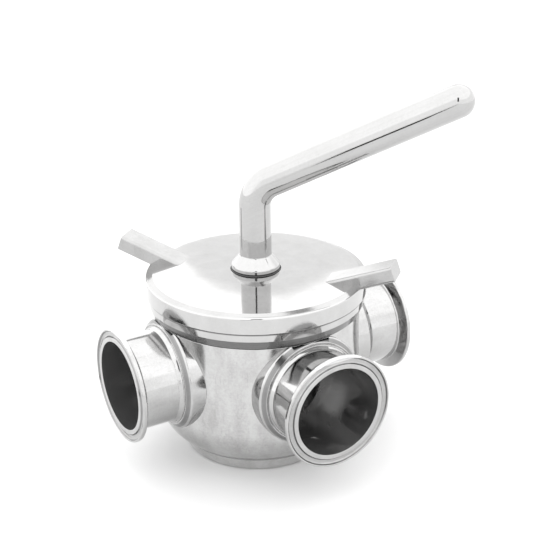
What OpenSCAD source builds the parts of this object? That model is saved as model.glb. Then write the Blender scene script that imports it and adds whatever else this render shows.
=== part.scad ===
// Three way plug valve with clamp ends, in polished stainless steel.
// Millimetres, +Z up. The origin is the centre of the base face.
// The front port points along -Y, the left port along -X and the right port along +X.

/* [Ports] */
// Height of the three port axes above the base
port_height = 66.5; // [60:0.5:80]
// Distance from the valve's axis to each ferrule face
port_reach = 105; // [98:0.5:130]
// Outer diameter of the port tubes
tube_od = 63.5; // [58:0.1:66]
// Wall of the port tubes
tube_wall = 1.65; // [1:0.05:3]
// Outer diameter of the clamp ferrules
clamp_od = 77.5; // [75:0.1:84]
// Thickness of a ferrule's rim
clamp_rim = 2.9; // [2:0.1:5]
// Slope of a ferrule's back, in degrees
clamp_bevel = 20; // [10:1:30]
// Length of a ferrule along its port
ferrule_length = 12.7; // [11:0.1:21]
// Mean diameter of the gasket groove in a ferrule's face
groove_d = 70.5; // [69:0.1:71.5]
// Depth of the gasket groove
groove_depth = 1.6; // [0.8:0.1:2]
// Radius of the gasket groove's round section
groove_r = 2.3; // [2:0.1:2.5]
// Rounding of a ferrule's rim
rim_round = 1.1; // [0.3:0.1:1.4]

/* [Bosses] */
// Outer diameter of the boss round each port
boss_d = 76.6; // [74:0.1:80]
// Distance from the valve's axis to a boss's front face
boss_reach = 73.3; // [71:0.1:80]
// Chamfer on a boss's front edge
boss_chamfer = 3.3; // [0.5:0.1:4]
// Depth to which a boss is let into the body, measured from the valve's axis
boss_seat = 60; // [57:0.5:62]
// Radius of the fillet between a boss and its tube
boss_fillet = 3; // [1:0.1:3.5]
// Distance from the valve's axis to a tube's inner end
tube_seat = 54; // [53.5:0.1:56]

/* [Body] */
// Outer diameter of the body
body_d = 142; // [138:0.5:150]
// Height of the body's shoulder, below the bonnet nut
shoulder_height = 101.5; // [100:0.5:104]
// Radius of the body's rounded lower edge
bowl_r = 31; // [29.5:0.5:33]
// Height at which the rounded lower edge starts
bowl_height = 37; // [34:0.5:38]
// Height of the foot disc
foot_height = 10.8; // [9:0.1:12]
// Diameter of the foot disc at the base
foot_d = 104; // [98:0.5:108]
// Chamfer of the foot disc's lower edge
foot_chamfer = 0.8; // [0.3:0.1:2]
// Outer diameter of the thread on the body's rim
thread_d = 133; // [130:0.5:136]
// Depth of the thread, which leaves the rim's plain core
thread_depth = 1.6; // [1:0.1:2.4]
// Height of the body's rim
rim_height = 115; // [113:0.5:116]

/* [Plug] */
// Diameter of the plug at its lower face
plug_d_bottom = 97; // [96:0.2:98]
// Diameter of the plug at its upper face
plug_d_top = 101; // [99:0.2:102]
// Height of the plug's lower face
plug_bottom = 24; // [22:0.5:28]
// Height of the plug's upper face
plug_top = 104.5; // [103:0.5:106]
// Diameter of the plug's angled passage
passage_d = 52; // [40:0.5:60]
// Direction of the handle
handle_angle = -38; // [-180:1:180]
// Angle by which the first mouth of the passage leads the handle
mouth_lead = 9; // [-15:1:15]
// Radial clearance between plug and body
plug_clearance = 0.05; // [0.02:0.01:0.1]
// Thickness of the pad below the plug
pad_thickness = 3; // [2:0.5:5]
// Diameter of the pad below the plug
pad_d = 46; // [30:1:60]

/* [Cover] */
// Thickness of the washer on the plug
washer_thickness = 2.5; // [1:0.1:4]
// Outer diameter of the washer on the plug
washer_d = 84; // [60:1:96]
// Height of the body's gasket seat above the washer on the plug
gasket_seat = 1; // [0.5:0.1:2]
// Thickness of the cover's gasket
gasket_thickness = 2; // [1:0.1:3]
// Thickness of the cover's flange
cover_flange = 6; // [5:0.1:7]
// Width of the cover's seat round the plug's cavity
cover_seat = 7.5; // [5.5:0.1:7.6]
// Radial clearance between cover and body
cover_fit = 0.3; // [0.1:0.05:0.5]
// Inner diameter of the ring between nut and cover
slip_inner_d = 80; // [60:1:90]
// Outer diameter of the ring between nut and cover
slip_outer_d = 112; // [100:1:114]
// Thickness of the ring between nut and cover
slip_thickness = 2; // [1:0.1:3]

/* [Bonnet nut] */
// Diameter over the nut's rounded rim
nut_d = 151.2; // [148:0.2:156]
// Height of the nut's lower edge
nut_bottom = 102.3; // [101.8:0.1:104]
// Height of the nut's flat top
nut_top = 126.6; // [125:0.1:130]
// Diameter at which the nut's crowned top begins
nut_face_d = 141; // [130:1:146]
// Rise of the nut's top from there to the stem hole
nut_crown = 1.8; // [0.5:0.1:3]
// Drop of the bevel round the nut's top
nut_bevel = 1; // [0.5:0.1:2]
// Rounding between the bevel and the nut's side
nut_round = 1.6; // [0.5:0.1:3]
// Height of the crease in the nut's side
nut_crease = 114.2; // [112:0.1:118]
// Depth of the step under the crease
nut_step = 0.8; // [0.4:0.1:1]
// Height of the lower edge of the nut's bright band
nut_band = 108.4; // [106:0.1:110]
// Diameter of the nut at the lower edge of its bright band
nut_band_d = 149; // [147:0.1:149.4]
// Diameter of the nut's lower edge
nut_lip_d = 144.4; // [142:0.1:146]
// Radial clearance of the nut's thread
thread_clearance = 0.25; // [0.1:0.05:0.5]
// Radial clearance between the nut's hole and the stem's wiper
wiper_clearance = 0.1; // [0.05:0.01:0.3]

/* [Lugs] */
// Direction of the front lug
lug_angle = -48.5; // [-180:0.5:180]
// Upward slope of the lugs, in degrees
lug_slope = 20; // [10:0.5:35]
// Width of the lugs
lug_width = 18.7; // [12:0.1:26]
// Thickness of the lugs
lug_thickness = 10.8; // [5:0.1:12]
// Distance from the valve's axis at which a lug rises from the nut's top
lug_start = 48.8; // [46:0.1:56]
// Length of a lug's upper face
lug_length = 49.6; // [35:0.1:60]
// Rounding of a lug's long edges
lug_round = 2; // [0.5:0.1:3]

/* [Stem and handle] */
// Diameter of the stem
stem_d = 25; // [20:0.5:27]
// Depth of the stem's socket in the plug
stem_socket = 6; // [4:0.5:7]
// Radial clearance between stem and cover
stem_clearance = 0.05; // [0.02:0.01:0.1]
// Outer diameter of the black wiper ring
wiper_d = 34.2; // [33:0.1:38]
// Height of the wiper ring
wiper_height = 4; // [3:0.1:6]
// Rise of the wiper ring above the nut
wiper_rise = 0.7; // [0.5:0.1:2]
// Gap between the wiper ring and the collar
collar_gap = 0.3; // [0.1:0.05:0.6]
// Wall of the collar's skirt inside the wiper ring
skirt_wall = 1.5; // [1:0.1:2.5]
// Diameter of the collar
collar_d = 33; // [31:0.1:33.6]
// Height of the collar
collar_height = 9.5; // [7:0.1:14]
// Height of the collar's upright wall
collar_wall = 2; // [1:0.1:4]
// Rounding of the collar's shoulder
collar_round = 1.8; // [0.5:0.1:1.9]
// Diameter of the handle bar
bar_d = 21.8; // [18:0.1:24]
// Height at which the handle's two axes cross
bend_height = 185.9; // [160:0.1:210]
// Radius of the handle's bend, at the bar's axis
bend_r = 20; // [16:0.5:40]
// Depth of the fine step where the bend meets the straight lengths
bend_step = 0.03; // [0.02:0.01:0.05]
// Upward slope of the handle's arm, in degrees
arm_slope = 25.4; // [0:0.1:45]
// Length of the arm from the crossing of the axes to the end ball's centre
arm_length = 144.5; // [80:0.5:260]

/* [Seals] */
// Section diameter of the plug's O-rings
plug_ring_section = 3.5; // [2:0.1:5]
// Distance of the plug's O-rings from its end faces
plug_ring_inset = 3.4; // [3:0.1:5]
// Section diameter of the stem's O-rings
stem_ring_section = 2.6; // [1.5:0.1:3]
// Distance between the two stem O-rings
stem_ring_pitch = 4.2; // [4:0.1:5]
// Clearance of an O-ring in its groove
ring_clearance = 0.05; // [0.02:0.01:0.2]

/* [Hidden] */
$fn = 96;

// Directions of the three ports, turned from the front port
left_turn = -90;
front_turn = 0;
right_turn = 90;

// Radii worked out from the driving diameters
body_r = body_d / 2;
tube_r = tube_od / 2;
bore_r = tube_r - tube_wall;
boss_r = boss_d / 2;
clamp_r = clamp_od / 2;
stem_r = stem_d / 2;
wiper_r = wiper_d / 2;
bar_r = bar_d / 2;
thread_r = thread_d / 2;
rim_r = thread_r - thread_depth;
cover_r = plug_d_top / 2 + cover_seat;
nut_r = nut_d / 2;

// Where a boss's face has narrowed to its fillet
boss_face_r = tube_r + boss_fillet;
// Where the foot disc meets the rounded lower edge
bowl_axis_r = body_r - bowl_r;
foot_top_r = bowl_axis_r + sqrt(bowl_r * bowl_r - pow(bowl_height - foot_height, 2));

// Heights of the stack above and below the plug
cavity_bottom = plug_bottom - pad_thickness;
cover_bottom = plug_top + washer_thickness;
gasket_bottom = cover_bottom + gasket_seat;
flange_bottom = gasket_bottom + gasket_thickness;
cover_top = flange_bottom + cover_flange;
nut_roof = cover_top + slip_thickness;
crown_top = nut_top + nut_crown;
wiper_top = crown_top + wiper_rise;
wiper_bottom = wiper_top - wiper_height;
collar_bottom = wiper_top + collar_gap;
collar_top = collar_bottom + collar_height;
stem_bottom = plug_top - stem_socket;
stem_ring_z = (cover_bottom + cover_top) / 2;

// Radii and heights that follow from the fits
skirt_r = stem_r + skirt_wall;
skirt_bottom = cover_top + cover_fit;
hole_r = wiper_r + wiper_clearance;

// Overlap of cutting shapes, and the angle by which the bend runs on inside the straight lengths
over = 1;
bend_lap = 1;

module steel() { color("#c8ccce") children(); }
module rubber() { color("#17181a") children(); }
module ptfe() { color("#e9e8e2") children(); }

// Turns a shape that points along +Z so that it points out of a port
module at_port(turn) {
    translate([0, 0, port_height])
        rotate([0, 0, turn])
            rotate([90, 0, 0])
                children();
}

module tube_between(outer_r, inner_r, bottom, top) {
    translate([0, 0, bottom])
        difference() {
            cylinder(r = outer_r, h = top - bottom);
            translate([0, 0, -over])
                cylinder(r = inner_r, h = top - bottom + 2 * over);
        }
}

module o_ring(ring_r, section, height) {
    translate([0, 0, height])
        rotate_extrude()
            translate([ring_r, 0])
                circle(d = section, $fn = 32);
}

function plug_r(z) = (plug_d_bottom + (plug_d_top - plug_d_bottom) * (z - plug_bottom) / (plug_top - plug_bottom)) / 2;

/* Body */

module body_outline() {
    intersection() {
        union() {
            translate([0, foot_height])
                square([foot_top_r, shoulder_height - foot_height]);
            translate([0, bowl_height])
                square([body_r, shoulder_height - bowl_height]);
            translate([bowl_axis_r, bowl_height])
                circle(r = bowl_r);
        }
        translate([0, foot_height])
            square([body_r + over, shoulder_height - foot_height]);
    }
    translate([0, port_height])
        square([rim_r, rim_height - port_height]);
}

module body_shell() {
    steel()
        difference() {
            rotate_extrude()
                body_outline();
            rotate_extrude()
                polygon([
                    [0, cavity_bottom],
                    [plug_r(cavity_bottom) + plug_clearance, cavity_bottom],
                    [plug_r(plug_top) + plug_clearance, plug_top],
                    [plug_r(plug_top) + plug_clearance, gasket_bottom],
                    [cover_r + cover_fit, gasket_bottom],
                    [cover_r + cover_fit, rim_height + over],
                    [0, rim_height + over]
                ]);
            for (turn = [left_turn, front_turn, right_turn])
                at_port(turn) {
                    cylinder(r = bore_r, h = body_r + over);
                    translate([0, 0, tube_seat])
                        cylinder(r = tube_r, h = body_r);
                    translate([0, 0, boss_seat])
                        cylinder(r = boss_r, h = body_r);
                }
        }
}

module base_plate() {
    steel()
        rotate_extrude()
            polygon([
                [0, 0],
                [foot_d / 2 - foot_chamfer, 0],
                [foot_d / 2, foot_chamfer],
                [foot_top_r, foot_height],
                [0, foot_height]
            ]);
}

/* Ports */

module boss(turn) {
    steel()
        intersection() {
            at_port(turn)
                rotate_extrude()
                    difference() {
                        polygon([
                            [tube_r, boss_seat],
                            [boss_r, boss_seat],
                            [boss_r, boss_reach - boss_chamfer],
                            [boss_face_r, boss_reach],
                            [boss_face_r, boss_reach + boss_fillet],
                            [tube_r, boss_reach + boss_fillet]
                        ]);
                        translate([boss_face_r, boss_reach + boss_fillet])
                            circle(r = boss_fillet);
                    }
            cylinder(r = port_reach, h = shoulder_height);
        }
}

module left_boss() { boss(left_turn); }
module front_boss() { boss(front_turn); }
module right_boss() { boss(right_turn); }

module port_tube(turn) {
    steel()
        at_port(turn)
            tube_between(tube_r, bore_r, tube_seat, port_reach - ferrule_length);
}

module left_tube() { port_tube(left_turn); }
module front_tube() { port_tube(front_turn); }
module right_tube() { port_tube(right_turn); }

module ferrule_outline() {
    rim_back = port_reach - clamp_rim;
    bevel_rise = (clamp_r - tube_r) * tan(clamp_bevel);
    difference() {
        union() {
            translate([bore_r, port_reach - ferrule_length])
                square([tube_r - bore_r, ferrule_length]);
            polygon([
                [bore_r, rim_back - bevel_rise],
                [tube_r, rim_back - bevel_rise],
                [clamp_r - rim_round, rim_back - rim_round * tan(clamp_bevel)],
                [clamp_r - rim_round, port_reach],
                [bore_r, port_reach]
            ]);
            translate([clamp_r - rim_round, port_reach - rim_round])
                circle(r = rim_round, $fn = 32);
            translate([clamp_r - rim_round, rim_back + rim_round / 2])
                circle(r = rim_round, $fn = 32);
            translate([clamp_r - 2 * rim_round, rim_back + rim_round / 2])
                square([2 * rim_round, clamp_rim - 1.5 * rim_round]);
        }
        translate([groove_d / 2, port_reach + groove_r - groove_depth])
            circle(r = groove_r, $fn = 48);
    }
}

module ferrule(turn) {
    steel()
        at_port(turn)
            rotate_extrude()
                ferrule_outline();
}

module left_ferrule() { ferrule(left_turn); }
module front_ferrule() { ferrule(front_turn); }
module right_ferrule() { ferrule(right_turn); }

/* Cover and seals that stay still */

module cover_plate() {
    steel()
        difference() {
            union() {
                translate([0, 0, cover_bottom])
                    cylinder(r = plug_r(plug_top) - cover_fit, h = cover_top - cover_bottom);
                translate([0, 0, flange_bottom])
                    cylinder(r = cover_r, h = cover_flange);
            }
            translate([0, 0, cover_bottom - over])
                cylinder(r = stem_r + stem_clearance, h = cover_top - cover_bottom + 2 * over);
            for (side = [-1, 1])
                stem_groove(side);
        }
}

module stem_groove(side) {
    half = stem_ring_section / 2 + ring_clearance;
    tube_between(stem_r + stem_ring_section + 2 * ring_clearance, stem_r - over,
        stem_ring_z + side * stem_ring_pitch / 2 - half,
        stem_ring_z + side * stem_ring_pitch / 2 + half);
}

module cover_gasket() {
    rubber()
        tube_between(cover_r, plug_r(plug_top) + plug_clearance, gasket_bottom, flange_bottom);
}

module foot_pad() {
    ptfe()
        translate([0, 0, cavity_bottom])
            cylinder(d = pad_d, h = pad_thickness);
}

module stem_ring(side) {
    rubber()
        o_ring(stem_r + stem_ring_section / 2 + ring_clearance, stem_ring_section,
            stem_ring_z + side * stem_ring_pitch / 2);
}

module stem_ring_lower() { stem_ring(-1); }
module stem_ring_upper() { stem_ring(1); }

/* Plug, stem and handle */

module plug_groove(height) {
    half = plug_ring_section / 2 + ring_clearance;
    tube_between(plug_r(height) + over, ring_axis_r(height) - half, height - half, height + half);
}

function ring_axis_r(height) = plug_r(height) + plug_clearance - plug_ring_section / 2 - ring_clearance;

ring_low = plug_bottom + plug_ring_inset;
ring_high = plug_top - plug_ring_inset;

module plug() {
    steel()
        difference() {
            translate([0, 0, plug_bottom])
                cylinder(d1 = plug_d_bottom, d2 = plug_d_top, h = plug_top - plug_bottom);
            translate([0, 0, port_height])
                sphere(d = passage_d);
            for (mouth = [0, -90])
                translate([0, 0, port_height])
                    rotate([0, 0, handle_angle + mouth_lead + mouth])
                        rotate([0, 90, 0])
                            cylinder(d = passage_d, h = plug_d_top);
            translate([0, 0, stem_bottom])
                cylinder(r = stem_r, h = stem_socket + over);
            plug_groove(ring_low);
            plug_groove(ring_high);
        }
}

module plug_ring(height) {
    rubber()
        o_ring(ring_axis_r(height), plug_ring_section, height);
}

module plug_ring_lower() { plug_ring(ring_low); }
module plug_ring_upper() { plug_ring(ring_high); }

module plug_washer() {
    ptfe()
        tube_between(washer_d / 2, stem_r, plug_top, cover_bottom);
}

module stem() {
    steel()
        translate([0, 0, stem_bottom])
            cylinder(r = stem_r, h = collar_bottom - stem_bottom);
}

module collar_outline() {
    collar_r = collar_d / 2;
    polygon([
        [bar_r, collar_bottom],
        [collar_r, collar_bottom],
        [collar_r, collar_bottom + collar_wall],
        [collar_r - collar_round * (1 - cos(45)), collar_bottom + collar_wall + collar_round * sin(45)],
        [bar_r, collar_top]
    ]);
    translate([collar_r - collar_round, collar_bottom + collar_wall])
        circle(r = collar_round, $fn = 48);
}

module hub_collar() {
    steel()
        rotate_extrude() {
            translate([stem_r, skirt_bottom])
                square([skirt_wall, collar_bottom - skirt_bottom]);
            collar_outline();
        }
}

module stem_wiper() {
    rubber()
        tube_between(wiper_r, skirt_r, wiper_bottom, wiper_top);
}

module handle_bar() {
    turn = 90 - arm_slope;
    setback = bend_r * tan(turn / 2);
    steel()
        rotate([0, 0, handle_angle]) {
            translate([0, 0, collar_bottom])
                cylinder(r = bar_r, h = bend_height - setback - collar_bottom);
            translate([bend_r, 0, bend_height - setback])
                rotate([90, 0, 0])
                    rotate([0, 0, 180 - turn - bend_lap])
                        rotate_extrude(angle = turn + 2 * bend_lap)
                            translate([bend_r, 0])
                                circle(r = bar_r - bend_step);
            translate([0, 0, bend_height])
                rotate([0, turn, 0]) {
                    translate([0, 0, setback])
                        cylinder(r = bar_r, h = arm_length - setback);
                    translate([0, 0, arm_length])
                        sphere(r = bar_r);
                }
        }
}

/* Bonnet nut */

module slip_ring() {
    ptfe()
        tube_between(slip_outer_d / 2, slip_inner_d / 2, cover_top, nut_roof);
}

module nut_outline() {
    side_top = nut_top - nut_bevel - nut_round;
    polygon([
        [0, nut_bottom],
        [nut_lip_d / 2, nut_bottom],
        [nut_band_d / 2, nut_band],
        [nut_r - nut_step, nut_crease - nut_step],
        [nut_r, nut_crease],
        [nut_r, side_top],
        [nut_r - nut_round, nut_top - nut_bevel],
        [nut_face_d / 2, nut_top],
        [hole_r, crown_top],
        [0, crown_top]
    ]);
    translate([nut_r - nut_round, side_top])
        circle(r = nut_round, $fn = 48);
}

module nut_envelope() {
    rotate_extrude()
        nut_outline();
}

module bonnet_nut() {
    steel()
        difference() {
            nut_envelope();
            translate([0, 0, nut_bottom - over])
                cylinder(r = thread_r + thread_clearance, h = nut_roof - nut_bottom + over);
            cylinder(r = hole_r, h = crown_top + over);
        }
}

module lug_section() {
    inner_width = lug_width - 2 * lug_round;
    translate([-lug_thickness, -inner_width / 2])
        square([lug_thickness, inner_width]);
    translate([lug_round - lug_thickness, -lug_width / 2])
        square([lug_thickness - 2 * lug_round, lug_width]);
    for (side = [-1, 1])
        for (face = [-lug_round, lug_round - lug_thickness])
            translate([face, side * inner_width / 2])
                circle(r = lug_round, $fn = 32);
}

module lug(angle) {
    root = lug_thickness / tan(lug_slope);
    steel()
        difference() {
            rotate([0, 0, angle])
                translate([lug_start, 0, nut_top])
                    rotate([0, 90 - lug_slope, 0])
                        translate([0, 0, -root])
                            linear_extrude(height = lug_length + root)
                                mirror([1, 0])
                                    lug_section();
            nut_envelope();
            cylinder(r = body_d, h = nut_bottom);
        }
}

module front_lug() { lug(lug_angle); }
module rear_lug() { lug(lug_angle + 180); }

body_shell();
base_plate();
left_boss();
front_boss();
right_boss();
left_tube();
front_tube();
right_tube();
left_ferrule();
front_ferrule();
right_ferrule();
cover_plate();
cover_gasket();
foot_pad();
stem_ring_lower();
stem_ring_upper();
plug();
plug_ring_lower();
plug_ring_upper();
plug_washer();
stem();
hub_collar();
stem_wiper();
handle_bar();
slip_ring();
bonnet_nut();
front_lug();
rear_lug();
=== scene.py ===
"""Three way valve in polished stainless steel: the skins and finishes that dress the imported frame."""

import math

import bpy
import numpy as np
from mathutils import Matrix, Vector


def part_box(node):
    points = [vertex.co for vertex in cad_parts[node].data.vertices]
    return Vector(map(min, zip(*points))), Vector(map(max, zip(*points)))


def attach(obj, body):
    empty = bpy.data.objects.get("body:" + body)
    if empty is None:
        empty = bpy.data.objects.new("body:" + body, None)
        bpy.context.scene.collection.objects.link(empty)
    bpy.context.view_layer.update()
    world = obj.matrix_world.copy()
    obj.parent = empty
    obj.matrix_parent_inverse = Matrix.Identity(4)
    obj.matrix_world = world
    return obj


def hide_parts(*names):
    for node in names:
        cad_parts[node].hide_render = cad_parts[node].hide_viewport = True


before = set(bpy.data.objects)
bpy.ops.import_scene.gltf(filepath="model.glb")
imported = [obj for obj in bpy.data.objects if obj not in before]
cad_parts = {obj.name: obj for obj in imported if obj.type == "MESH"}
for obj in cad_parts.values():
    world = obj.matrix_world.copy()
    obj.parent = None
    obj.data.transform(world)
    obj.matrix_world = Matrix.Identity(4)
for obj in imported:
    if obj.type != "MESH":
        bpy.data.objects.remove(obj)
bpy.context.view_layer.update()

MM = 0.001
TAU = 2 * math.pi
UP = np.array([0, 0, 1.0])
AROUND = 256  # points round the large turned parts
FRONT, RIGHT, LEFT = (math.radians(a) for a in (-90, 0, 180))
PORTS = {"left": LEFT, "front": FRONT, "right": RIGHT}


# ---------------------------------------------------------------- sizes, from the frame

def low(node):
    """The lowest corner of a node's box, in millimetres."""
    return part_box(node)[0] / MM


def high(node):
    """The highest corner of a node's box, in millimetres."""
    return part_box(node)[1] / MM


# All in millimetres: heights end in _Z, radii in _R, distances out from the stem's axis in _OUT. A pair
# says where a part begins and ends. Turns and slopes are in radians.

# The pot, its thread and the bowl below it
SEAM_Z = low("body_shell").z
RIM_Z = high("body_shell").z
SHOULDER_Z = high("front_boss").z
CAVITY_Z = low("foot_pad").z
GASKET_Z = low("cover_gasket").z
COVER_R = high("cover_plate").x + 0.3
FOOT_R = 52.0
BODY_R = 71.0
RIM_R = 64.9
THREAD_R = 66.5
THREAD_PITCH = 25.4 / 6
THREAD_Z = SHOULDER_Z + 0.7, RIM_Z - 1.2
SHOULDER_EDGE = 0.6
BOWL_CORNER_R = 30.8
BOWL_MID = BODY_R - BOWL_CORNER_R, 36.89
BOWL_TOP_Z = 20.0
WALL_HOLE_R = 34.0

# The ports
PORT_Z = (low("front_tube").z + high("front_tube").z) / 2
TUBE_R = (high("front_tube").x - low("front_tube").x) / 2
TUBE_WALL = 1.65
BORE_R = TUBE_R - TUBE_WALL
TUBE_OUT = -high("front_tube").y, -low("front_tube").y
BOSS_R = high("front_boss").x
BOSS_OUT = -high("front_boss").y, -low("front_boss").y
BOSS_FACE_OUT = BOSS_OUT[1] - 3.0
BOSS_BEVEL = 3.3
FERRULE_OUT = low("right_ferrule").x, high("right_ferrule").x
CLAMP_R = high("front_ferrule").x
CLAMP_RIM = 2.9
CLAMP_BEVEL = 2.55
GROOVE_R = 33.0, 33.8, 36.7, 37.5  # inner side from and to, outer side from and to
GROOVE_DEPTH = 1.6

# The plug
PLUG_Z = low("plug").z, high("plug").z
PLUG_R = 48.5, high("plug").x
PLUG_GAP = 0.05
PASSAGE_R = 26.0
RING_INSET = 3.4
RING_HALF = 1.8
RING_DEPTH = 3.5
SOCKET_DEPTH = 6

# The bonnet nut and its lugs
ROOF_Z = high("slip_ring").z
WIPER_R = high("stem_wiper").x
WIPER_Z = low("stem_wiper").z, high("stem_wiper").z
WIPER_GAP = 0.1
NUT_R = high("bonnet_nut").y
NUT_Z = low("bonnet_nut").z, 126.6
NUT_BORE_R = 66.75
NUT_THREAD_R = 65.15
NUT_FOOT_R = 72.2
NUT_EDGE = 0.8
LIP_R, LIP_Z = 74.5, 108.4
CREASE_R, CREASE_Z = 74.8, (113.4, 114.2)
BEVEL_R, BEVEL_DEPTH = 70.5, 1.0
CROWN_Z = WIPER_Z[1] - 0.7
CROWN_BEND = 44.0, NUT_Z[1] + 1.48, 1130
LUG_TURN = math.radians(-48.5)
LUG_SLOPE = math.radians(20)
LUG_WIDTH, LUG_THICKNESS = 18.7, 10.8
LUG_START_OUT, LUG_LENGTH = 48.8, 49.6

# The stem, the collar and the handle
STEM_R = high("stem").x
SLEEVE_R = STEM_R + 1.5
COLLAR_R = high("hub_collar").x
COLLAR_Z = low("hub_collar").z, high("hub_collar").z
COLLAR_FACE_Z = WIPER_Z[1] + 0.3
COLLAR_BAND = 2.62
COLLAR_NECK = 1.4
COLLAR_WALL = 0.2
BAR_R = 10.9
BEND_Z = 185.9
BEND_R = 20.0
ARM = 144.5
ARM_LEAN = math.radians(90 - 25.4)
HANDLE_TURN = math.radians(-38)
MOUTH_LEAD = math.radians(9)
MOUTHS = HANDLE_TURN + MOUTH_LEAD, HANDLE_TURN + MOUTH_LEAD - TAU / 4


# ---------------------------------------------------------------- outlines, in millimetres

def outline(corners, closed=True):
    """Runs of (points, normals) along corners given as (across, along, rounding).

    A rounding r replaces its corner by the arc of radius r tangent to both sides. The outside lies on
    the right of the way of travel. A run ends at each corner with no rounding, which stays sharp.
    """
    spots = np.array([c[:2] for c in corners], float)
    rounds = [c[2] if len(c) > 2 else 0 for c in corners]
    count = len(spots)
    runs, points, normals = [], [], []

    def right_of(way):
        return np.array([way[1], -way[0]]) / max(np.hypot(*way), 1e-12)

    def end_run():
        if len(points) > 1:
            runs.append((np.array(points), np.array(normals)))
        points.clear()
        normals.clear()

    for i in range(count + 1 if closed else count):
        here, r = spots[i % count], rounds[i % count]
        way_in, way_out = here - spots[(i - 1) % count], spots[(i + 1) % count] - here
        a, b = right_of(way_in), right_of(way_out)
        turn = math.atan2(a[0] * b[1] - a[1] * b[0], a @ b)
        if r and (closed or 0 < i < count - 1):
            side = math.copysign(1, turn)
            middle = here - way_in / np.hypot(*way_in) * r * math.tan(abs(turn) / 2) - side * r * a
            steps = max(3, math.ceil(abs(turn) / min(0.16, math.sqrt(0.02 / r))))
            for t in np.linspace(0, turn, steps + 1):
                out = np.array([a[0] * math.cos(t) - a[1] * math.sin(t), a[0] * math.sin(t) + a[1] * math.cos(t)])
                points.append(middle + side * r * out)
                normals.append(out)
                if i == count and t == 0:
                    break
            continue
        if i > 0:
            points.append(here)
            normals.append(a)
        if i < count:
            end_run()
            points.append(here)
            normals.append(b)
    end_run()
    return runs


def bow(middle, radius, start, end, inward=False):
    """A run along an arc of a circle, from one angle to another in degrees."""
    t = np.radians(np.linspace(start, end, max(4, math.ceil(abs(end - start) / 2.0)) + 1))
    out = np.stack([np.cos(t), np.sin(t)], 1)
    return [(np.array(middle) + radius * out, -out if inward else out)]


# ---------------------------------------------------------------- surfaces

def unit(v):
    return v / np.maximum(np.linalg.norm(v, axis=-1, keepdims=True), 1e-12)


def axes_of(turn):
    """The start, two cross axes and axis of a shape turned about the stem, or about a port's axis."""
    if turn is None:
        return np.zeros(3), *np.eye(3)
    axis = np.array([math.cos(turn), math.sin(turn), 0])
    return PORT_Z * UP, np.array([-axis[1], axis[0], 0]), UP, axis


def turned(runs, turn=None, around=AROUND):
    """Each run carried round an axis: its across is the radius and its along the way along the axis."""
    start, x_way, y_way, axis = axes_of(turn)
    angle = np.linspace(0, TAU, around + 1)[:, None]
    ring = np.cos(angle) * x_way + np.sin(angle) * y_way
    return [(start + p[:, :1, None] * ring + p[:, 1:, None] * axis,
             n[:, :1, None] * ring + n[:, 1:, None] * axis) for p, n in runs]


def square_way_round(around=AROUND):
    """Points round the edge of a square from -1 to 1, so that a hole can blend into a straight border."""
    t = np.linspace(-1, 1, around // 4 + 1)[:-1]
    one = np.ones_like(t)
    return np.concatenate([np.stack(p, 1) for p in ((t, -one), (one, t), (-t, one), (-one, -t))] + [[[-1, -1]]])


def pierced_wall(radius, heights, holes, hole_r, inward=False, around=AROUND, rows=14):
    """The wall of a turned shape with round holes at the ports' height, in four quarters.

    A quarter with a hole blends from the hole's rim, at a fixed distance from the hole's axis, to the
    quarter's border in turn and height. Each point is put on the wall, whose radius is a function of
    height, and its normal leans by that function's slope.
    """
    square = square_way_round(around)
    middle, span = (heights[1] + heights[0]) / 2, (heights[1] - heights[0]) / 2
    patches = []
    for quarter in range(4):
        turn = holes[0] + quarter * TAU / 4
        if any(abs(math.remainder(turn - h, TAU)) < 1e-6 for h in holes):
            about = np.arctan2(square[:, 1], square[:, 0])
            across, up = hole_r * np.cos(about), hole_r * np.sin(about)
            rim = np.stack([np.arcsin(across / radius(PORT_Z + up)), PORT_Z + up], 1)
            border = np.stack([square[:, 0] * TAU / 8, middle + square[:, 1] * span], 1)
            blend = np.linspace(0, 1, rows + 1)[:, None, None]
            grid = rim * (1 - blend) + border * blend
        else:
            t = np.linspace(-1, 1, around // 4 + 1)
            grid = np.stack(np.meshgrid(t * TAU / 8, middle + t * span, indexing="ij"), -1)
        angle, z = turn + grid[..., 0], grid[..., 1]
        lean = (radius(z + 1e-3) - radius(z - 1e-3)) / 2e-3
        c, s = np.cos(angle), np.sin(angle)
        normal = np.stack([c, s, -lean], -1)
        patches.append((np.stack([radius(z) * c, radius(z) * s, z], -1), -normal if inward else normal))
    return patches


def tunnel(turn, near_r, far_r, near, far, around=AROUND):
    """The wall of a round way out along a port's axis, seen from inside it.

    near and far give the distance out for each place across and up; its rims fall in with pierced_wall.
    """
    start, side, up, axis = axes_of(turn)
    square = square_way_round(around)
    about = np.arctan2(square[:, 1], square[:, 0])
    ring = np.cos(about)[:, None] * side + np.sin(about)[:, None] * up
    rows = []
    for r, out in ((near_r, near), (far_r, far)):
        distance = out(r * np.cos(about), r * np.sin(about)) + 0 * about
        rows.append(start + r * ring + distance[:, None] * axis)
    return [(np.stack(rows), np.stack([-ring, -ring]))]


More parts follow.
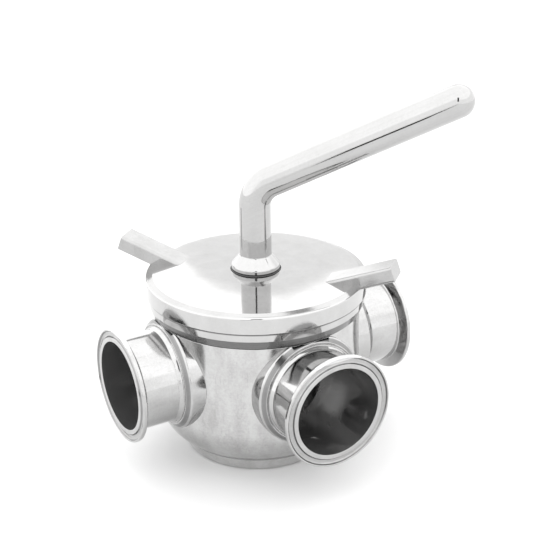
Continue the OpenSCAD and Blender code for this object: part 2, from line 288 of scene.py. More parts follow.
def screwed(root, crest, heights, phase, inward=False, around=AROUND):
    """A right-handed thread as a wall: the radius swings between root and crest with height and turn.

    The swing is a clipped cosine of height over pitch less the turn, and it dies away at both ends.
    """
    def radius_at(z, a):
        wave = np.cos(TAU * (z / THREAD_PITCH - phase) - a)
        ridge = (np.clip(1.3 * wave - 0.15, -0.85, 0.85) / 0.85 + 1) / 2
        fade = np.clip(np.minimum(z - heights[0], heights[1] - z) / 0.9, 0, 1)
        return root + (crest - root) * ridge * fade

    z = np.linspace(*heights, math.ceil((heights[1] - heights[0]) / THREAD_PITCH * 14) + 1)[:, None]
    a = np.linspace(0, TAU, around + 1)[None, :]
    r = radius_at(z, a)
    up = (radius_at(z + 0.01, a) - radius_at(z - 0.01, a)) / 0.02
    along = (radius_at(z, a + 1e-4) - radius_at(z, a - 1e-4)) / 2e-4 / r
    c, s = np.cos(a), np.sin(a)
    normal = np.stack([c + along * s, s - along * c, -up], -1)
    return [(np.stack([r * c, r * s, z + 0 * a], -1), -normal if inward else normal)]


def swept(path, ways, across, radius, lean, around=96):
    """A tube of changing radius along a path, with ways its directions and across a fixed side vector.

    lean says how far each ring's normals tip from straight out to the way: 0 on a tube, 1 at a pole.
    """
    up = np.cross(across, ways)
    angle = np.linspace(0, TAU, around + 1)[:, None]
    ring = np.cos(angle) * across + np.sin(angle) * up[:, None, :]
    lean = lean[:, None, None]
    return path[:, None] + radius[:, None, None] * ring, np.sqrt(1 - lean ** 2) * ring + lean * ways[:, None]


def rounded_bar(start, along, down, length, width, thickness, edge=2.0, end_edge=0.6, end_steps=6):
    """A flat bar from a start point: its top face runs along, and it lies below that face.

    The section is a rectangle with round corners; near the far end it shrinks along a small arc.
    """
    side = np.cross(down, along)
    section, facing = zip(*outline([(-width / 2, 0, edge), (width / 2, 0, edge),
                                    (width / 2, thickness, edge), (-width / 2, thickness, edge)]))
    section, facing = np.concatenate(section), np.concatenate(facing)
    t = np.linspace(0, TAU / 4, end_steps + 1)
    inset = np.r_[0, 0, end_edge * (1 - np.cos(t[1:]))]
    reach = np.r_[0, length - end_edge, length - end_edge * (1 - np.sin(t[1:]))]
    lift = np.r_[0, 0, np.sin(t[1:])]
    place = section[None] - inset[:, None, None] * facing[None]
    body = start + reach[:, None, None] * along + place[..., :1] * side + place[..., 1:] * down
    normal = (np.sqrt(1 - lift ** 2)[:, None, None] * (facing[None, :, :1] * side + facing[None, :, 1:] * down)
              + lift[:, None, None] * along)
    middle = start + thickness / 2 * down
    caps = [(np.stack([body[0], np.broadcast_to(middle, body[0].shape)]), -along),
            (np.stack([body[-1], np.broadcast_to(middle + length * along, body[0].shape)]), along)]
    return [(body, normal)] + caps


# ---------------------------------------------------------------- meshes

def piece(name, patches, finish, body, slot, *replaces):
    """One mesh of grid patches in millimetres: equal corners joined, quads cut in two, exact normals kept."""
    spots, facing, faces, base = [], [], [], 0
    for place, normal in patches:
        rows, columns = place.shape[:2]
        index = np.arange(rows * columns).reshape(rows, columns) + base
        a, b, c, d = index[:-1, :-1], index[1:, :-1], index[1:, 1:], index[:-1, 1:]
        faces.append(np.stack([a, b, c], -1).reshape(-1, 3))
        faces.append(np.stack([a, c, d], -1).reshape(-1, 3))
        spots.append(place.reshape(-1, 3))
        facing.append(unit(np.broadcast_to(normal, place.shape).reshape(-1, 3)))
        base += rows * columns
    spots, facing, faces = np.concatenate(spots), np.concatenate(facing), np.concatenate(faces)
    _, first, joined = np.unique(np.round(spots / 2e-4).astype(np.int64), axis=0,
                                 return_index=True, return_inverse=True)
    corners = joined.reshape(-1)[faces]
    whole = (corners != np.roll(corners, 1, axis=1)).all(1)
    faces, corners, place = faces[whole], corners[whole], spots[first] * MM
    flat = np.cross(place[corners[:, 1]] - place[corners[:, 0]], place[corners[:, 2]] - place[corners[:, 0]])
    inward = (flat * facing[faces].sum(1)).sum(1) < 0
    faces[inward], corners[inward] = faces[inward][:, ::-1], corners[inward][:, ::-1]

    mesh = bpy.data.meshes.new(name)
    mesh.vertices.add(len(place))
    mesh.vertices.foreach_set("co", place.astype(np.float32).ravel())
    mesh.loops.add(corners.size)
    mesh.loops.foreach_set("vertex_index", corners.astype(np.int32).ravel())
    mesh.polygons.add(len(corners))
    mesh.polygons.foreach_set("loop_start", np.arange(0, corners.size, 3, dtype=np.int32))
    mesh.update(calc_edges=True)
    mesh.normals_split_custom_set(facing[faces].reshape(-1, 3).tolist())
    mesh.materials.append(finish)
    thing = bpy.data.objects.new(name, mesh)
    bpy.context.scene.collection.objects.link(thing)
    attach(thing, body)
    if replaces:
        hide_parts(*replaces)
    return thing


# ---------------------------------------------------------------- finishes

class Wire:
    """A shader socket that can be used in a plain expression, which makes the maths nodes for it."""

    def __init__(self, net, socket):
        self.net, self.socket = net, socket

    def __add__(self, other):
        return self.net.maths("ADD", self, other)

    def __sub__(self, other):
        return self.net.maths("SUBTRACT", self, other)

    def __mul__(self, other):
        return self.net.maths("MULTIPLY", self, other)

    def __truediv__(self, other):
        return self.net.maths("DIVIDE", self, other)

    def __radd__(self, other):
        return self.net.maths("ADD", other, self)

    def __rsub__(self, other):
        return self.net.maths("SUBTRACT", other, self)

    def __rmul__(self, other):
        return self.net.maths("MULTIPLY", other, self)

    def clipped(self, lowest=0.0, highest=1.0):
        return self.net.maths("MINIMUM", self.net.maths("MAXIMUM", self, lowest), highest)

    def ramp(self, start, end):
        """0 up to start, 1 from end, eased between them."""
        return self.net.node("ShaderNodeMapRange", {0: self, 1: start, 2: end}, interpolation_type="SMOOTHSTEP")


class Net:
    """The nodes of one material, with the place of the shaded point as x, y and z in metres."""

    def __init__(self, name, tree=None):
        if tree is None:
            self.material = bpy.data.materials.new(name)
            self.material.use_nodes = True
            tree = self.material.node_tree
        self.tree = tree
        tree.nodes.clear()
        self.place = self.node("ShaderNodeTexCoord", output="Object")
        self.x, self.y, self.z = self.parts(self.place)

    def parts(self, vector):
        split = self.node("ShaderNodeSeparateXYZ", {0: vector}).socket.node
        return [Wire(self, socket) for socket in split.outputs]

    def node(self, kind, inputs=None, output=0, **settings):
        made = self.tree.nodes.new(kind)
        for name, value in settings.items():
            setattr(made, name, value)
        for name, value in (inputs or {}).items():
            if isinstance(value, Wire):
                self.tree.links.new(value.socket, made.inputs[name])
            else:
                made.inputs[name].default_value = value
        return Wire(self, made.outputs[output])

    def maths(self, operation, *values):
        return self.node("ShaderNodeMath", dict(enumerate(values)), operation=operation)

    def noise(self, scale, detail=2.0, roughness=0.5, at=None):
        return self.node("ShaderNodeTexNoise", {"Vector": at or self.place, "Scale": scale,
                                                "Detail": detail, "Roughness": roughness})

    def stretched(self, turn, across, along):
        """The place scaled for a pattern that is drawn out along the stem's axis or a port's axis."""
        scale = (across, across, along) if turn is None else (across, along, across)
        if turn in (LEFT, RIGHT):
            scale = (along, across, across)
        return self.node("ShaderNodeVectorMath", {0: self.place, 1: scale}, operation="MULTIPLY")

    def seen_along(self, first, second, scale):
        """The place on two vectors across a bar only, scaled, for streaks that run along the bar."""
        parts = [self.node("ShaderNodeVectorMath", {0: self.place, 1: tuple(v)}, 1, operation="DOT_PRODUCT") * scale
                 for v in (first, second)]
        return self.node("ShaderNodeCombineXYZ", {0: parts[0], 1: parts[1]})

    def lines(self, at, detail=3.0):
        """Noise along one number."""
        return self.node("ShaderNodeTexNoise", {"W": at, "Scale": 1.0, "Detail": detail, "Roughness": 0.65},
                         noise_dimensions="1D")

    def blend(self, factor, first, second):
        return self.node("ShaderNodeMix", {0: factor, 6: first, 7: second}, output=2, data_type="RGBA")

    def bump(self, height, distance, onto=None):
        inputs = {"Height": height, "Distance": distance, "Strength": 1.0}
        if onto:
            inputs["Normal"] = onto
        return self.node("ShaderNodeBump", inputs)

    def finish(self, base, roughness, metallic, bump=None):
        """Close the material with its surface and hand it over."""
        inputs = {"Base Color": base, "Roughness": roughness, "Metallic": metallic}
        if bump:
            inputs["Normal"] = bump
        self.surface(self.node("ShaderNodeBsdfPrincipled", inputs))
        return self.material

    def surface(self, shader, kind="ShaderNodeOutputMaterial"):
        out = self.tree.nodes.new(kind)
        self.tree.links.new(shader.socket, out.inputs["Surface"])

    def about(self, turn):
        """Radius about the stem's axis or a port's axis, and the way along that axis, in millimetres."""
        if turn is None:
            a, b, along = self.x, self.y, self.z / MM
        elif turn == FRONT:
            a, b, along = self.x, self.z - PORT_Z * MM, self.y / -MM
        else:
            a, b, along = self.y, self.z - PORT_Z * MM, self.x / (MM if turn == RIGHT else -MM)
        return self.maths("SQRT", a * a + b * b) / MM, along


def grey(value, warmth=0.0):
    """A grey as red, green, blue and alpha, with a little more red and less blue for warmth."""
    return (value * (1 + warmth), value, value * (1 - warmth), 1.0)


def band(radii, along, darker, rougher=0.0, duller=0.0):
    """A stretch of a turned part, from and to in millimetres, that is finished another way.

    darker, rougher and duller say how much darker and rougher it is and how much of its shine is lost. The seams and
    the bore are finished another way; the other bands are painted shade.
    """
    return radii, along, darker, rougher, duller


def steel(name, turn=None, tone=0.5, rough=0.1, rings=1.0, wave=1.0, mottle=0.5,
          bands=(), flat_z=None, drawn=None):
    """Stainless steel turned about an axis and polished: tool rings, a soft waviness and faint smears,
    with clouds of uneven polish, fine pits and a few scratches along the axis.

    flat_z is the height of a milled top face, which is painted paler and made duller as painted light on a sliver
    that the nut shades. drawn holds the two vectors across a bar whose streaks run along it.
    """
    net = Net(name)
    radius, along = net.about(turn)
    ring = net.lines(radius * 2.3 + along * 1.9)
    fine = net.lines(radius * 9.0 + along * 7.7, detail=2.0)
    smear = net.noise(26.0, detail=4.0, roughness=0.6)
    cloud = net.noise(9.0)
    patch = net.noise(1.0, detail=4.0, roughness=0.62, at=net.stretched(turn, across=75.0, along=30.0))
    if drawn:
        streak = net.noise(1.0, detail=3.0, roughness=0.6, at=net.seen_along(*drawn, scale=520.0))
        patch = patch * 0.3 + 0.7 * streak
    pits = net.noise(620.0, roughness=0.6)
    scratch = net.noise(1.0, detail=1.0, at=net.stretched(turn, across=1100.0, along=70.0)).ramp(0.7, 0.76)
    height = ring * 0.7 + fine * 0.3
    soft = net.bump(net.noise(34.0, detail=1.5), 9e-5 * wave)
    normal = net.bump(height, 2.2e-6 * rings, soft)
    wear = smear.ramp(0.42, 0.75)
    roughness = rough + 0.055 * wear + 0.05 * (fine - 0.5) + 0.04 * (cloud - 0.5) + 0.1 * scratch
    marks = 2.6 * (patch - 0.5) + 1.1 * (pits - 0.5) + 0.5 * (ring - 0.5) + 0.6 * scratch
    shade = 0.35 + wear * 0.15 + mottle * marks
    base = net.blend(shade.clipped(), grey(tone * 1.08, 0.002), grey(tone * 0.8, 0.008))
    metallic = 1.0
    fade = 0.25
    # Each band blends towards a dark grey: a dark joint on the seams, a duller finish in the bore, painted shade on
    # the rest.
    for (r0, r1), (a0, a1), darker, rougher, duller in bands:
        inside = (radius.ramp(r0 - fade, r0 + fade) * radius.ramp(r1 + fade, r1 - fade)
                  * along.ramp(a0 - fade, a0 + fade) * along.ramp(a1 + fade, a1 - fade))
        base = net.blend(inside * (0.8 + 0.4 * (ring - 0.5)) * darker, base, grey(tone * 0.12))
        roughness = roughness + rougher * inside
        metallic = metallic - duller * inside
    # Painted light: the boss's flat top, a sliver shaded by the nut, is made paler and less shiny so that it shows
    # grey.
    if flat_z:
        painted_light_top = net.z.ramp((flat_z - 0.2) * MM, (flat_z - 0.1) * MM)
        base = net.blend(painted_light_top, base, grey(tone * 1.3))
        metallic = metallic - 0.8 * painted_light_top
    return net.finish(base, roughness.clipped(0.03, 0.9), metallic, normal)


def rubber(name, tone):
    """Black rubber: nearly matt, with a fine grain, a thin bloom and a few paler specks of dust."""
    net = Net(name)
    grain = net.noise(2600.0)
    bloom = net.noise(60.0, detail=3.0)
    dust = net.noise(900.0, detail=1.0).ramp(0.68, 0.78)
    base = net.blend((bloom * 0.5 + dust * 0.25).clipped(), grey(tone), grey(tone * 3.2))
    return net.finish(base, (0.42 + 0.22 * bloom).clipped(), 0.0, net.bump(grain, 1.5e-5))


def ptfe(name):
    """White PTFE: waxy, with turning marks and a faint uneven tint."""
    net = Net(name)
    radius, along = net.about(None)
    marks = net.lines(radius * 5.0 + along * 4.1)
    tint = net.noise(40.0, detail=3.0)
    base = net.blend(tint, grey(0.8, 0.01), grey(0.7, 0.025))
    return net.finish(base, (0.38 + 0.15 * tint + 0.05 * marks).clipped(), 0.0, net.bump(marks, 6e-6))


BODY_SEAM = band((48, 60), (SEAM_Z - 0.6, SEAM_Z + 0.4), darker=0.7, rougher=0.1)
FOOT_SEAM = band((48, 62), (SEAM_Z - 0.9, SEAM_Z + 0.3), darker=0.9, rougher=0.1, duller=0.6)
# Painted shade: the nut's lip underside, its crease and its bevel are darkened where shade and dark reflections fall.
NUT_LIP_SHADE = band((NUT_FOOT_R - 0.7, 76), (NUT_Z[0] - 0.3, LIP_Z - 0.1), darker=0.9, rougher=0.08)
NUT_CREASE_SHADE = band((73.5, 75.4), (CREASE_Z[0] - 0.6, CREASE_Z[1] + 0.1), darker=0.8, rougher=0.1)
NUT_BEVEL_SHADE = band((BEVEL_R + 0.1, 77), (NUT_Z[1] - 1.2, NUT_Z[1] + 0.4), darker=0.2, rougher=0.06)
# Painted shade: each boss's chamfer is darkened for the dark reflection it shows.
BOSS_CHAMFER_SHADE = band((BOSS_R - 3.4, BOSS_R - 1.0), (BOSS_FACE_OUT - 3.1, BOSS_FACE_OUT - 0.1),
                    darker=0.75, rougher=0.08)
BORE = band((BORE_R - 1.1, BORE_R + 0.5), (40, FERRULE_OUT[1] - 0.4), darker=0.3, rougher=-0.03, duller=0.13)
GROOVE_OUT = FERRULE_OUT[1] - GROOVE_DEPTH - 0.5
# Painted shade: the clamp grooves' sides and floor are darkened where shade falls in them.
GROOVE_OUTER_SHADE = band((GROOVE_R[2] + 0.1, GROOVE_R[3] - 0.1), (GROOVE_OUT, FERRULE_OUT[1] - 0.1),
                    darker=0.6, rougher=0.1)
GROOVE_INNER_SHADE = band((GROOVE_R[0] + 0.1, GROOVE_R[1] - 0.1), (GROOVE_OUT, FERRULE_OUT[1] - 0.1),
                    darker=0.6, rougher=0.1)
GROOVE_FLOOR_SHADE = band((GROOVE_R[0] + 0.4, GROOVE_R[3] - 0.4), (GROOVE_OUT, FERRULE_OUT[1] - 0.5),
                    darker=0.2, rougher=0.1)

HANDLE_SIDE, HANDLE_OUT = axes_of(HANDLE_TURN)[1], axes_of(HANDLE_TURN)[3]
ARM_UNDER = np.cross(HANDLE_SIDE, math.sin(ARM_LEAN) * HANDLE_OUT + math.cos(ARM_LEAN) * UP)

body_steel = steel("body_steel", tone=0.5, rough=0.15, rings=0.8, mottle=1.1, bands=[BODY_SEAM])
# Painted light: the base disc's steel is a paler copy of the body's, lifting the shade its downward slope takes from
# the floor.
foot_steel_painted_light = steel("foot_steel_painted_light", tone=0.62, rough=0.2, rings=0.8, mottle=0.9, bands=[FOOT_SEAM])
nut_steel = steel("nut_steel", tone=0.51, rough=0.07, rings=0.8, mottle=0.3,
                  bands=[NUT_LIP_SHADE, NUT_CREASE_SHADE, NUT_BEVEL_SHADE])
stem_steel = steel("stem_steel", tone=0.47, rough=0.04, rings=0.6, mottle=0.3)
bar_steel = steel("bar_steel", tone=0.455, rough=0.045, rings=0.3, wave=0.7, mottle=0.3,
                  drawn=(HANDLE_SIDE, ARM_UNDER))
# Painted shade: the lugs' steel is a darker copy, for the greyer reflection on their sloping tops.
lug_steel_painted_shade = steel("lug_steel_painted_shade", tone=0.4, rough=0.15, rings=0.2, wave=1.2, mottle=0.5)
plug_steel = steel("plug_steel", tone=0.22, rough=0.2, rings=0.5, mottle=0.4)
port_steel = {name: steel(name + "_port_steel", turn, tone=0.465, rough=0.09, rings=0.8, mottle=0.65,
                          bands=[BOSS_CHAMFER_SHADE, BORE, GROOVE_OUTER_SHADE, GROOVE_INNER_SHADE, GROOVE_FLOOR_SHADE],
                          flat_z=SHOULDER_Z)
              for name, turn in PORTS.items()}
black_rubber = rubber("black_rubber_seal", tone=0.018)
white_ptfe = ptfe("white_ptfe_seal")

# Nodes that are shown as they are built
FINISHES = {"cover_gasket": black_rubber, "stem_ring_lower": black_rubber, "stem_ring_upper": black_rubber,
            "plug_ring_lower": black_rubber, "plug_ring_upper": black_rubber, "foot_pad": white_ptfe,
            "plug_washer": white_ptfe, "slip_ring": white_ptfe, "cover_plate": plug_steel, "stem": stem_steel}
for node, finish in FINISHES.items():
    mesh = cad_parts[node].data
    mesh.materials.clear()
    mesh.materials.append(finish)


# ---------------------------------------------------------------- body

def body_radius(z):
    """The pot's outer wall: upright down to BOWL_MID's height, then an arc of BOWL_CORNER_R inwards."""
    drop = np.clip(BOWL_MID[1] - z, 0, BOWL_CORNER_R)
    return BOWL_MID[0] + np.sqrt(BOWL_CORNER_R ** 2 - drop ** 2)


def cone_radius(z):
    """The plug's taper: a straight line in height between its two radii."""
    return PLUG_R[0] + (PLUG_R[1] - PLUG_R[0]) * (z - PLUG_Z[0]) / (PLUG_Z[1] - PLUG_Z[0])


def cavity_radius(z):
    """The taper that the plug turns in, a running gap larger."""
    return cone_radius(z) + PLUG_GAP


def out_to(radius):
    """The distance out at which a way crosses a wall, for each place across and up."""
    return lambda across, up: np.sqrt(radius(PORT_Z + up) ** 2 - across ** 2)


def tube_end(across, up):
    """The distance out at which each tube starts."""
    return TUBE_OUT[0]


seam_r = float(body_radius(SEAM_Z))
cavity_top_r = cavity_radius(PLUG_Z[1])
bowl_angles = [-math.degrees(math.asin((BOWL_MID[1] - z) / BOWL_CORNER_R)) for z in (SEAM_Z, BOWL_TOP_Z)]
walls = turned(outline([(0, SEAM_Z), (seam_r - 0.15, SEAM_Z), (seam_r, SEAM_Z + 0.1)], closed=False))
walls += turned(bow(BOWL_MID, BOWL_CORNER_R, *bowl_angles))
walls += pierced_wall(body_radius, (BOWL_TOP_Z, SHOULDER_Z - SHOULDER_EDGE), list(PORTS.values()), WALL_HOLE_R)
walls += turned(outline([(BODY_R, SHOULDER_Z - SHOULDER_EDGE), (BODY_R, SHOULDER_Z, 0.35),
                         (RIM_R, SHOULDER_Z), (RIM_R, THREAD_Z[0])], closed=False))
walls += screwed(RIM_R, THREAD_R, THREAD_Z, phase=0.0)
walls += turned(outline([(RIM_R, THREAD_Z[1]), (RIM_R, RIM_Z, 0.8), (COVER_R, RIM_Z, 0.3), (COVER_R, GASKET_Z),
                         (cavity_top_r, GASKET_Z), (cavity_top_r, PLUG_Z[1])], closed=False))
walls += pierced_wall(cavity_radius, (CAVITY_Z, PLUG_Z[1]), list(PORTS.values()), BORE_R, inward=True)
walls += turned(outline([(cavity_radius(CAVITY_Z), CAVITY_Z), (0, CAVITY_Z)], closed=False))
for turn in PORTS.values():
    walls += tunnel(turn, BORE_R, BORE_R, out_to(cavity_radius), tube_end)
    walls += tunnel(turn, BORE_R, WALL_HOLE_R, tube_end, out_to(body_radius))
piece("body_skin", walls, body_steel, "valve", "polished_steel", "body_shell")

foot_edge = 0.8
piece("base_disc", turned(outline([(0, 0), (FOOT_R - foot_edge, 0, 0.2), (FOOT_R, foot_edge, 0.3),
                                   (seam_r + 0.25, SEAM_Z, 0.35), (0, SEAM_Z)], closed=False)),
      foot_steel_painted_light, "valve", "polished_steel", "base_plate")


# ---------------------------------------------------------------- ports

# The stepped lip where a boss meets its tube, each corner as beyond the tube, beyond the face, rounding
BOSS_LIP = ((3.0, 0, 0.2), (2.4, 0, 0.2), (2.2, -0.4, 0.15), (1.9, -0.4, 0.15), (1.7, 0.4, 0.2),
            (1.2, 0.4, 0.3), (0.9, 1.2, 0.5))
boss_runs = outline([(TUBE_R, BOSS_OUT[0]), (BOSS_R, BOSS_OUT[0]), (BOSS_R, BOSS_FACE_OUT - BOSS_BEVEL, 1.8)]
                    + [(TUBE_R + beyond, BOSS_FACE_OUT + step, rounding) for beyond, step, rounding in BOSS_LIP]
                    + [(TUBE_R, BOSS_OUT[1], 0.8), (TUBE_R, BOSS_OUT[1] + 0.3)])
tube_runs = outline([(BORE_R, TUBE_OUT[0]), (TUBE_R, TUBE_OUT[0]), (TUBE_R, TUBE_OUT[1]), (BORE_R, TUBE_OUT[1])])
back, front = FERRULE_OUT
rim_back, groove_floor = front - CLAMP_RIM, front - GROOVE_DEPTH
ferrule_runs = outline([
    (BORE_R, back), (TUBE_R, back), (TUBE_R, rim_back - CLAMP_BEVEL, 1.0), (CLAMP_R, rim_back, 1.05),
    (CLAMP_R, front, 0.9), (GROOVE_R[3], front, 0.3), (GROOVE_R[2], groove_floor, 1.4),
    (GROOVE_R[1], groove_floor, 1.4), (GROOVE_R[0], front, 0.3), (BORE_R, front, 0.3)])

for name, turn in PORTS.items():
    ring = turned(boss_runs, turn)
    for place, normal in ring:  # the boss is milled off level with the shoulder
        above = place[..., 2] > SHOULDER_Z
        place[above, 2] = SHOULDER_Z
        normal[above] = UP
    piece(name + "_boss_ring", ring, port_steel[name], "valve", "polished_steel", name + "_boss")
    piece(name + "_tube_wall", turned(tube_runs, turn), port_steel[name], "valve", "polished_steel", name + "_tube")
    piece(name + "_clamp_ferrule", turned(ferrule_runs, turn), port_steel[name], "valve", "polished_steel",
          name + "_ferrule")


# ---------------------------------------------------------------- plug

groove_z = PLUG_Z[0] + RING_INSET, PLUG_Z[1] - RING_INSET
plug_walls = []
for z in groove_z:
    deep = cone_radius(z) - RING_DEPTH
    plug_walls += turned(outline([(cone_radius(z - RING_HALF), z - RING_HALF), (deep, z - RING_HALF),
                                  (deep, z + RING_HALF), (cone_radius(z + RING_HALF), z + RING_HALF)], closed=False))
plug_walls += turned(outline([(0, PLUG_Z[0]), (PLUG_R[0], PLUG_Z[0]),
                              (cone_radius(groove_z[0] - RING_HALF), groove_z[0] - RING_HALF)], closed=False))
plug_walls += turned(outline([(cone_radius(groove_z[1] + RING_HALF), groove_z[1] + RING_HALF),
                              (PLUG_R[1], PLUG_Z[1]), (STEM_R, PLUG_Z[1]), (STEM_R, PLUG_Z[1] - SOCKET_DEPTH),
                              (0, PLUG_Z[1] - SOCKET_DEPTH)], closed=False))
plug_walls += pierced_wall(cone_radius, (groove_z[0] + RING_HALF, groove_z[1] - RING_HALF), MOUTHS, PASSAGE_R)
# The two ways meet on the plane midway between them, and a quarter of a ball closes the outer corner
for mouth, sign in zip(MOUTHS, (-1, 1)):
    plug_walls += tunnel(mouth, PASSAGE_R, PASSAGE_R, lambda across, up: np.maximum(sign * across, 0),
                         out_to(cone_radius))
lat, lon = np.meshgrid(np.linspace(-TAU / 4, TAU / 4, 65), np.linspace(0, TAU / 4, 33), indexing="ij")
first_way, second_way = (axes_of(mouth)[3] for mouth in MOUTHS)
corner = (-np.cos(lat)[..., None] * (np.cos(lon)[..., None] * first_way + np.sin(lon)[..., None] * second_way)
          + np.sin(lat)[..., None] * UP)
plug_walls.append((PASSAGE_R * corner + PORT_Z * UP, -corner))
piece("plug_skin", plug_walls, plug_steel, "rotor", "turned_steel", "plug")


# ---------------------------------------------------------------- bonnet nut

shell = turned(outline([
    (NUT_BORE_R, NUT_Z[0] + NUT_EDGE), (NUT_BORE_R + NUT_EDGE, NUT_Z[0], 0.3), (NUT_FOOT_R, NUT_Z[0], 0.5),
    (LIP_R, LIP_Z, 0.3), (CREASE_R, CREASE_Z[0], 0.5), (NUT_R, CREASE_Z[1], 0.5),
    (NUT_R, NUT_Z[1] - BEVEL_DEPTH, 1.55), (NUT_R - 1.6, NUT_Z[1] - BEVEL_DEPTH, 0.4), (BEVEL_R, NUT_Z[1], 0.5),
    CROWN_BEND, (WIPER_R + WIPER_GAP, CROWN_Z, 0.3), (WIPER_R + WIPER_GAP, ROOF_Z), (NUT_BORE_R, ROOF_Z),
    (NUT_BORE_R, ROOF_Z - NUT_EDGE)], closed=False))
shell += screwed(NUT_BORE_R, NUT_THREAD_R, (NUT_Z[0] + NUT_EDGE, ROOF_Z - NUT_EDGE), phase=0.5, inward=True)
piece("nut_shell", shell, nut_steel, "nut", "polished_steel", "bonnet_nut")

lug_root = 1.0  # how far back into the crown each lug starts
for name, turn in (("front", LUG_TURN), ("rear", LUG_TURN + math.pi)):
    out = axes_of(turn)[3]
    along = math.cos(LUG_SLOPE) * out + math.sin(LUG_SLOPE) * UP
    down = math.sin(LUG_SLOPE) * out - math.cos(LUG_SLOPE) * UP
    start = LUG_START_OUT * out + NUT_Z[1] * UP - lug_root * along
    piece(name + "_lug_bar", rounded_bar(start, along, down, LUG_LENGTH + lug_root, LUG_WIDTH, LUG_THICKNESS),
          lug_steel_painted_shade, "nut", "polished_steel", name + "_lug")


# ---------------------------------------------------------------- stem seal, collar and handle

piece("wiper_lip", turned(outline([(SLEEVE_R, WIPER_Z[0]), (WIPER_R, WIPER_Z[0], 0.2), (WIPER_R, WIPER_Z[1], 1.3),
                                   (SLEEVE_R, WIPER_Z[1])]), around=128),
      black_rubber, "rotor", "black_rubber", "stem_wiper")
socket_r, neck_z = BAR_R - COLLAR_WALL, COLLAR_Z[1] + COLLAR_NECK
piece("collar_boss", turned(outline([
    (STEM_R, COLLAR_Z[0]), (SLEEVE_R, COLLAR_Z[0], 0.3), (SLEEVE_R, COLLAR_FACE_Z), (COLLAR_R, COLLAR_FACE_Z, 0.4),
    (COLLAR_R, COLLAR_FACE_Z + COLLAR_BAND, 1.8), (BAR_R, COLLAR_Z[1], 1.5), (BAR_R, neck_z),
    (socket_r, neck_z), (socket_r, COLLAR_FACE_Z), (STEM_R, COLLAR_FACE_Z)]), around=160),
    stem_steel, "rotor", "polished_steel", "hub_collar")

# The rod's middle line: straight up, round the bend, along the arm and on into the rounded tip
BEND_POINTS, TIP_POINTS = 41, 17
bend_start_z = BEND_Z - BEND_R * math.tan(ARM_LEAN / 2)
bend = np.linspace(0, ARM_LEAN, BEND_POINTS)[:, None]
bend_path = bend_start_z * UP + BEND_R * ((1 - np.cos(bend)) * HANDLE_OUT + np.sin(bend) * UP)
bend_way = np.sin(bend) * HANDLE_OUT + np.cos(bend) * UP
arm_way = bend_way[-1]
arm_end = BEND_Z * UP + ARM * arm_way
tip = np.linspace(0, TAU / 4, TIP_POINTS)
path = np.concatenate([[COLLAR_FACE_Z * UP], bend_path, arm_end + BAR_R * np.sin(tip)[:, None] * arm_way])
ways = np.concatenate([[UP], bend_way, np.broadcast_to(arm_way, (TIP_POINTS, 3))])
rod, rod_normals = swept(path, ways, HANDLE_SIDE, radius=np.r_[np.full(BEND_POINTS + 1, BAR_R), BAR_R * np.cos(tip)],
                         lean=np.r_[np.zeros(BEND_POINTS + 1), np.sin(tip)])
foot = np.stack([rod[0], np.broadcast_to(COLLAR_FACE_Z * UP, rod[0].shape)])
piece("handle_rod", [(rod, rod_normals), (foot, -UP)], bar_steel, "rotor", "polished_steel", "handle_bar")


# ---------------------------------------------------------------- studio, in metres

def plain_finish(name, value, roughness):
    """An even grey with a faint cloud in it."""
    net = Net(name)
    cloud = net.noise(3.0)
    return net.finish(net.blend(cloud, grey(value), grey(value * 0.985)), roughness + 0.02 * cloud, 0.0)


def sheet(name, corners, finish):
    """A flat four-cornered sheet for the stage."""
    mesh = bpy.data.meshes.new(name)
    mesh.from_pydata(corners, [], [(0, 1, 2, 3)])
    mesh.materials.append(finish)
    thing = bpy.data.objects.new(name, mesh)
    bpy.context.scene.collection.objects.link(thing)
    return thing


FLOOR_HALF, FLOOR_DROP = 8, 0.0002
floor = sheet("floor", [(-FLOOR_HALF, -FLOOR_HALF, 0), (FLOOR_HALF, -FLOOR_HALF, 0), (FLOOR_HALF, FLOOR_HALF, 0),
                        (-FLOOR_HALF, FLOOR_HALF, 0)], plain_finish("pale_floor", 0.72, 0.7))
floor.location = (0, 0, -FLOOR_DROP)

# A dark flag on the floor, which draws the stripe along the handle
FLAG_HALF, FLAG_HEIGHT, FLAG_OUT, FLAG_TURN = 0.1, 0.14, 1.0, math.radians(-39)
dark_cloth = plain_finish("dark_cloth", 0.02, 0.8)
flag = sheet("dark_flag", [(-FLAG_HALF, 0, 0), (FLAG_HALF, 0, 0), (FLAG_HALF, 0, FLAG_HEIGHT),
                           (-FLAG_HALF, 0, FLAG_HEIGHT)], dark_cloth)
flag.location = (FLAG_OUT * math.sin(FLAG_TURN), -FLAG_OUT * math.cos(FLAG_TURN), 0)
flag.rotation_euler = (0, 0, FLAG_TURN)
flag.visible_camera = False

# A dark card behind the camera, which draws the line down the stem's mirror image
CARD_HALF, CARD_LOW, CARD_HIGH, CARD_BEHIND = 0.075, -0.05, 0.34, 0.05
card = sheet("dark_card", [(-CARD_HALF, CARD_LOW, 0), (CARD_HALF, CARD_LOW, 0), (CARD_HALF, CARD_HIGH, 0),
                           (-CARD_HALF, CARD_HIGH, 0)], dark_cloth)
card.visible_camera = False

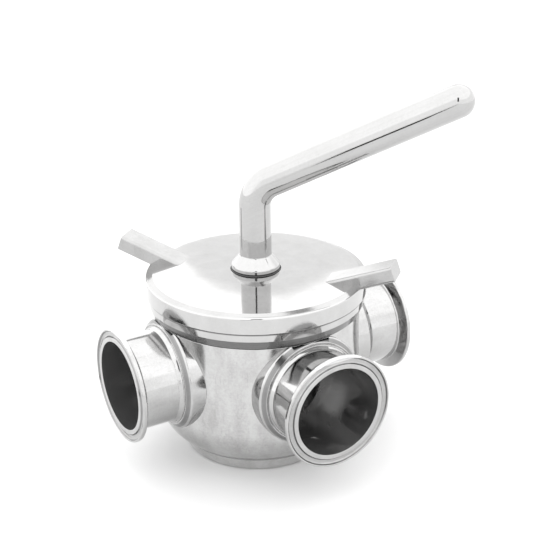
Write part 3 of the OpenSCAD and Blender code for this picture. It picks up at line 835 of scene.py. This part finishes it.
# The sky is white, with a grey arch that the cap mirrors, a grey wing beside it and a paler grey band
# low down round the rest. Its places are bearings from north and heights over the horizon, in degrees.
ARCH_MIDDLE, ARCH_HALF = (30.0, 15.0), (7.0, 13.6)
WING = 30.0, 80.0
WHITE, SCREEN_GREY, BAND_SHARE = grey(1.0), grey(0.66), 0.5
scene = bpy.context.scene
scene.view_settings.view_transform = "Standard"
scene.world = bpy.data.worlds.new("studio")
scene.world.use_nodes = True
sky = Net("studio_light", scene.world.node_tree)
east, north, height = sky.parts(sky.node("ShaderNodeTexCoord", output="Generated"))
bearing = sky.maths("ARCTAN2", east, north) / math.radians(1)
height = sky.maths("ARCSINE", height) / math.radians(1)
across, above = (bearing - ARCH_MIDDLE[0]) / ARCH_HALF[0], (height - ARCH_MIDDLE[1]) / ARCH_HALF[1]
arch = sky.maths("SQRT", across * across + above * above).ramp(1.04, 0.97)
wing = bearing.ramp(WING[0], WING[0] + 1.0) * bearing.ramp(WING[1], WING[1] - 20.0) * height.ramp(24.5, 22.5)
round_about = (bearing.ramp(60.0, 80.0) + bearing.ramp(-90.0, -110.0)) * height.ramp(30.0, 22.0)
screen = sky.maths("MAXIMUM", sky.maths("MAXIMUM", arch, wing), BAND_SHARE * round_about)
backdrop = sky.node("ShaderNodeBackground", {"Color": sky.blend(screen, WHITE, SCREEN_GREY), "Strength": 2.1})
sky.surface(backdrop, "ShaderNodeOutputWorld")

aim = Vector((0.02365, 0.00788, 0.1107))
azimuth, elevation, distance = math.radians(-30.42), math.radians(23.53), 0.83575
roll = math.radians(-0.49)
back = Vector((math.sin(azimuth) * math.cos(elevation), -math.cos(azimuth) * math.cos(elevation), math.sin(elevation)))
lens = bpy.data.cameras.new("camera")
lens.lens, lens.sensor_width = 76.47, 36.0
camera = bpy.data.objects.new("camera", lens)
camera.matrix_world = (Matrix.Translation(aim + distance * back)
                       @ (-back).to_track_quat("-Z", "Y").to_matrix().to_4x4() @ Matrix.Rotation(roll, 4, "Z"))
scene.collection.objects.link(camera)
card.matrix_world = Matrix.Translation(CARD_BEHIND * back) @ camera.matrix_world
scene.camera = camera
